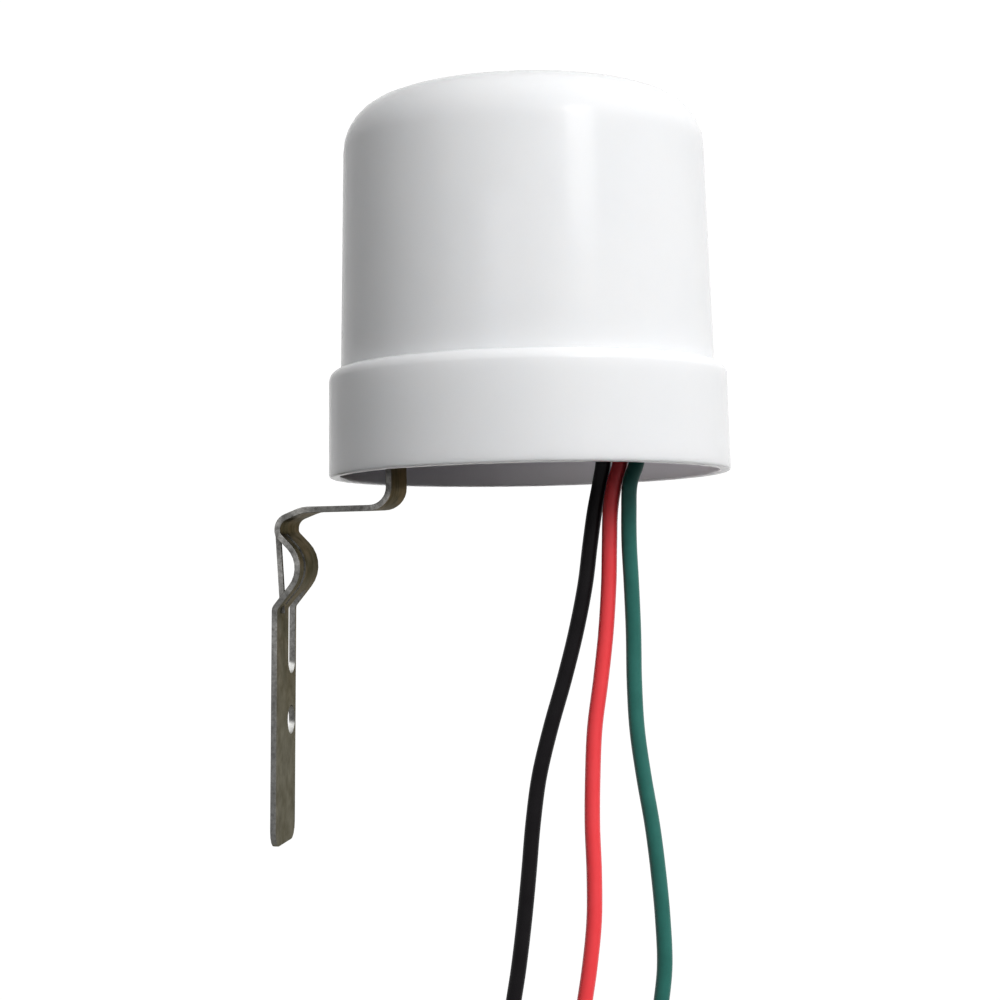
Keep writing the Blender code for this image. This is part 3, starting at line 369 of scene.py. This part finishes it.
def zinc_material():
    """Dull zinc: neutral on the strip's cut edges, olive brown on its rolled faces, with painted shade of the cap
    on the arm, painted light on the arm's edges, and a painted highlight on what faces up low in the leg's slot and
    hole.
    """
    material, tree, shader = new_material("zinc_plate")
    place = tree.nodes.new("ShaderNodeTexCoord")
    normal = separate(tree, place.outputs["Normal"])
    height = separate(tree, place.outputs["Object"])["Z"]
    on_edge = calculate(tree, "ABSOLUTE", normal["Y"])
    mottled = noise(tree, *ZINC_MOTTLE)
    specks = noise(tree, *ZINC_SPECKS)
    patches = spread(tree, noise(tree, *ZINC_PATCHES, shift=PATCH_SHIFT), *PATCH_RANGE)
    # The patches paint light on the arm's edges and give its faces a reddish-brown tone
    arm_edge = mix(tree, patches, ramp(tree, specks, *SHADED_ARM_TONES[0]), EDGE_PAINTED_LIGHT, "MULTIPLY")
    arm_face = mix(tree, patches, ramp(tree, mottled, *SHADED_ARM_TONES[1]), FACE_PATCH, "MULTIPLY")
    arm = mix(tree, on_edge, arm_face, arm_edge)
    leg = mix(tree, on_edge, ramp(tree, mottled, *LIT_LEG_TONES[1]), ramp(tree, specks, *LIT_LEG_TONES[0]))
    # Painted shade of the cap: the arm's darker tones give way to the leg's lighter ones further below the rim
    down = map_range(tree, height, (RIM_Z - ARM_TOP_BELOW_RIM, RIM_Z - LEG_BELOW_RIM))
    # Painted highlight: near-white on what faces up low on the leg, inside its slot and hole
    upward = map_range(tree, normal["Z"], HIGHLIGHT_FACING, smooth=True)
    low_down = calculate(tree, "LESS_THAN", height, RIM_Z - HIGHLIGHT_BELOW_RIM)
    painted_highlight = calculate(tree, "MULTIPLY", upward, low_down)
    tree.links.new(mix(tree, painted_highlight, mix(tree, down, arm, leg), PAINTED_HIGHLIGHT_TONE), shader.inputs["Base Color"])
    shader.inputs["Metallic"].default_value = 1.0
    shader.inputs["Specular Tint"].default_value = ZINC_GRAZING
    drawn = noise(tree, *ZINC_DRAWN, stretch=DRAWN_STRETCH)
    tree.links.new(spread(tree, drawn, *ZINC_ROUGHNESS), shader.inputs["Roughness"])
    bump(tree, shader, drawn, ZINC_GRAIN, 0.6)
    return material


def metal_material(name, colour, roughness):
    material, tree, shader = new_material(name)
    fine = noise(tree, *METAL_FINE)
    dark = tuple(channel * METAL_DARKEST for channel in colour)
    tree.links.new(ramp(tree, fine, dark, colour), shader.inputs["Base Color"])
    shader.inputs["Metallic"].default_value = 1.0
    roughen(tree, shader, fine, roughness, METAL_SPREAD)
    return material


def plastic_material(name, colour, roughness):
    material, tree, shader = new_material(name)
    fine = noise(tree, *PLASTIC_FINE)
    dark = tuple(channel * PLASTIC_DARKEST for channel in colour)
    tree.links.new(ramp(tree, fine, dark, colour), shader.inputs["Base Color"])
    roughen(tree, shader, fine, roughness, PLASTIC_SPREAD)
    bump(tree, shader, fine, PLASTIC_GRAIN, 0.5)
    return material


def lead_material(colour):
    low, high, roughness, specular = LEAD_FINISHES[colour]
    material, tree, shader = new_material(f"{colour}_pvc")
    tree.links.new(ramp(tree, noise(tree, *LEAD_CLOUDS), low, high), shader.inputs["Base Color"])
    fine = noise(tree, *LEAD_FINE)
    roughen(tree, shader, fine, roughness, LEAD_SPREAD)
    bump(tree, shader, fine, PLASTIC_GRAIN, 0.5)
    shader.inputs["Specular IOR Level"].default_value = specular
    return material


def finishes():
    """The finish of each material slot of the record, leads apart."""
    made = {"cover": cap_material(), "zinc": zinc_material()}
    made.update({slot: metal_material(*values) for slot, values in METALS.items()})
    made.update({slot: plastic_material(*values) for slot, values in PLASTICS.items()})
    return made


def smooth_piece(node, material):
    """A copy of a solid with its corners welded and its round sides shaded smooth."""
    bm = bmesh.new()
    bm.from_mesh(node.data)
    bmesh.ops.remove_doubles(bm, verts=bm.verts, dist=WELD_DISTANCE)
    mesh = bpy.data.meshes.new(f"{node.name}_finish")
    bm.to_mesh(mesh)
    bm.free()
    if "custom_normal" in mesh.attributes:
        mesh.attributes.remove(mesh.attributes["custom_normal"])
    mesh.shade_smooth()
    mesh.set_sharp_from_angle(angle=math.radians(SHARP_ANGLE))
    mesh.materials.clear()
    mesh.materials.append(material)
    piece = bpy.data.objects.new(mesh.name, mesh)
    piece.matrix_world = node.matrix_world
    bpy.context.scene.collection.objects.link(piece)
    flat = piece.modifiers.new("flat_faces_stay_flat", "WEIGHTED_NORMAL")
    flat.keep_sharp = True
    return piece


def dress_nodes():
    """Each solid is shown by its smooth copy, and the tinned ends of the leads by themselves."""
    finish = finishes()
    for part in frame["record"]["subparts"]:
        name = part["node"]
        node = frame["nodes"][name]
        if name.endswith("_tip"):
            for place in node.material_slots:
                place.material = finish[part["material_slot"]]
        elif not name.endswith("_lead"):
            piece = smooth_piece(node, finish[part["material_slot"]])
            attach(piece, "root")
            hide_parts(name)


def lead_spline(curve, points):
    """A smooth spline through the points, and its length."""
    points = [Vector(point) for point in points]
    ends = [2 * points[0] - points[1], *points, 2 * points[-1] - points[-2]]
    spline = curve.splines.new("BEZIER")
    spline.bezier_points.add(len(points) - 1)
    for point, before, place, after in zip(spline.bezier_points, ends, points, ends[2:]):
        point.handle_left_type = "FREE"
        point.handle_right_type = "FREE"
        point.co = place
        point.handle_left = place - (after - before) / 6
        point.handle_right = place + (after - before) / 6
    length = 0.0
    for first, second in zip(spline.bezier_points, spline.bezier_points[1:]):
        path = interpolate_bezier(first.co, first.handle_right, second.handle_left, second.co, LENGTH_STEPS)
        length += sum((b - a).length for a, b in zip(path, path[1:]))
    return length


def make_lead(colour, x):
    """One free lead as a round cord along the same route as its solid."""
    data = bpy.data.curves.new(f"{colour}_cord", "CURVE")
    data.dimensions = "3D"
    data.bevel_depth = LEAD_RADIUS
    data.bevel_resolution = LEAD_ROUNDNESS
    data.use_fill_caps = True
    data.resolution_u = LEAD_STEPS
    data.render_resolution_u = LEAD_STEPS
    straight = [(x, 0.0, z) for z in (LEAD_TOP, PLATE_TOP, PLATE_BOTTOM - LEAD_BELOW_PLATE)]
    length = lead_spline(data, [at(*point) for point in (*straight, *ROUTES[colour])])
    data.materials.append(lead_material(colour))
    cord = bpy.data.objects.new(f"{colour}_cord", data)
    bpy.context.scene.collection.objects.link(cord)
    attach(cord, "root")
    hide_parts(f"{colour}_lead")


def make_camera():
    data = bpy.data.cameras.new("camera")
    data.sensor_width = SENSOR_WIDTH
    data.lens = FOCAL_PIXELS / FRAME_PIXELS * SENSOR_WIDTH
    data.clip_start, data.clip_end = CAMERA_CLIP
    camera = bpy.data.objects.new("camera", data)
    heading = Matrix.Rotation(math.radians(CAMERA_HEADING), 4, "Z")
    tilt = Matrix.Rotation(math.radians(90 + CAMERA_TILT), 4, "X")
    roll = Matrix.Rotation(math.radians(CAMERA_ROLL), 4, "Z")
    camera.matrix_world = Matrix.Translation(at(*CAMERA_PLACE)) @ heading @ tilt @ roll
    bpy.context.scene.collection.objects.link(camera)
    bpy.context.scene.camera = camera


def add_area_light(name, place, size, power):
    data = bpy.data.lights.new(name, "AREA")
    data.shape = "RECTANGLE"
    data.size, data.size_y = size
    data.energy = power
    light = bpy.data.objects.new(name, data)
    light.location = place
    aim = (at(*LAMP_TARGET) - place).normalized()
    light.rotation_euler = aim.to_track_quat("-Z", "Y").to_euler()
    bpy.context.scene.collection.objects.link(light)


def camera_sees(tree):
    """1 for camera, glossy and transmission rays, which show the white background, and 0 for the rest."""
    rays = tree.nodes.new("ShaderNodeLightPath").outputs
    seen = calculate(tree, "MAXIMUM", rays["Is Camera Ray"], rays["Is Glossy Ray"])
    return calculate(tree, "MAXIMUM", seen, rays["Is Transmission Ray"])


def make_world():
    """Even studio light that grows towards the right front and above, and a white room for the camera."""
    world = bpy.data.worlds.new("studio")
    world.use_nodes = True
    tree = world.node_tree
    direction = tree.nodes.new("ShaderNodeTexCoord").outputs["Generated"]
    lean = calculate_vector(tree, "DOT_PRODUCT", direction, STUDIO_LEAN)
    level = calculate(tree, "ADD", lean, STUDIO_LEVEL)
    floor = calculate(tree, "MAXIMUM", level, STUDIO_DARKEST)
    horizon = map_range(tree, separate(tree, direction)["Z"], HORIZON_FADE, (STUDIO_BELOW, 1.0), smooth=True)
    light = tree.nodes["Background"]
    light.inputs["Color"].default_value = WHITE
    tree.links.new(calculate(tree, "MULTIPLY", floor, horizon), light.inputs["Strength"])
    room = tree.nodes.new("ShaderNodeBackground")
    room.inputs["Color"].default_value = WHITE
    room.inputs["Strength"].default_value = ROOM_STRENGTH
    either = tree.nodes.new("ShaderNodeMixShader")
    tree.links.new(camera_sees(tree), either.inputs["Fac"])
    tree.links.new(light.outputs["Background"], either.inputs[1])
    tree.links.new(room.outputs["Background"], either.inputs[2])
    tree.links.new(either.outputs["Shader"], tree.nodes["World Output"].inputs["Surface"])
    bpy.context.scene.world = world


def paper_material():
    """Paper that reads as white: full white where it stands up, and a shade less on the floor."""
    material, tree, shader = new_material("white_paper")
    tree.links.new(ramp(tree, noise(tree, *PAPER_FIBRES), *PAPER_TONES), shader.inputs["Base Color"])
    shader.inputs["Roughness"].default_value = 1.0
    shader.inputs["Specular IOR Level"].default_value = 0.0
    shader.inputs["Emission Color"].default_value = WHITE
    height = separate(tree, tree.nodes.new("ShaderNodeTexCoord").outputs["Object"])["Z"]
    glow = map_range(tree, height, (0.0, PAPER_BEND), PAPER_GLOW)
    shown = calculate(tree, "MULTIPLY", glow, camera_sees(tree))
    tree.links.new(shown, shader.inputs["Emission Strength"])
    return material


def make_sweep():
    """A roll of white paper that lies under the object and curves up behind it, square to the camera."""
    bend_start = PAPER_BACK - PAPER_BEND
    profile = [(-PAPER_FRONT, 0.0), (bend_start, 0.0)]
    for i in range(1, PAPER_BEND_STEPS + 1):
        angle = math.radians(90 * i / PAPER_BEND_STEPS)
        profile.append((bend_start + PAPER_BEND * math.sin(angle), PAPER_BEND * (1 - math.cos(angle))))
    profile.append((PAPER_BACK, PAPER_TOP))
    bm = bmesh.new()
    rows = [[bm.verts.new((x, y, z)) for x in (-PAPER_WIDTH / 2, PAPER_WIDTH / 2)] for y, z in profile]
    for low, high in zip(rows, rows[1:]):
        bm.faces.new((low[0], low[1], high[1], high[0]))
    mesh = bpy.data.meshes.new("paper_sweep")
    bm.to_mesh(mesh)
    bm.free()
    mesh.shade_smooth()
    mesh.materials.append(paper_material())
    sweep = bpy.data.objects.new("paper_sweep", mesh)
    sweep.location = at(0.0, 0.0, -PAPER_BELOW_RIM)
    sweep.rotation_euler.z = math.radians(CAMERA_HEADING)
    bpy.context.scene.collection.objects.link(sweep)


bpy.context.scene.view_settings.view_transform = "Standard"
dress_nodes()
for number, name in enumerate(ROUTES):
    make_lead(name, FIRST_LEAD_X + LEAD_PITCH * number)
make_camera()
make_world()
make_sweep()
add_area_light("softbox", at(*SOFTBOX_PLACE), SOFTBOX_SIZE, SOFTBOX_POWER)
add_area_light("bank", at(*BANK_PLACE), BANK_SIZE, BANK_POWER)
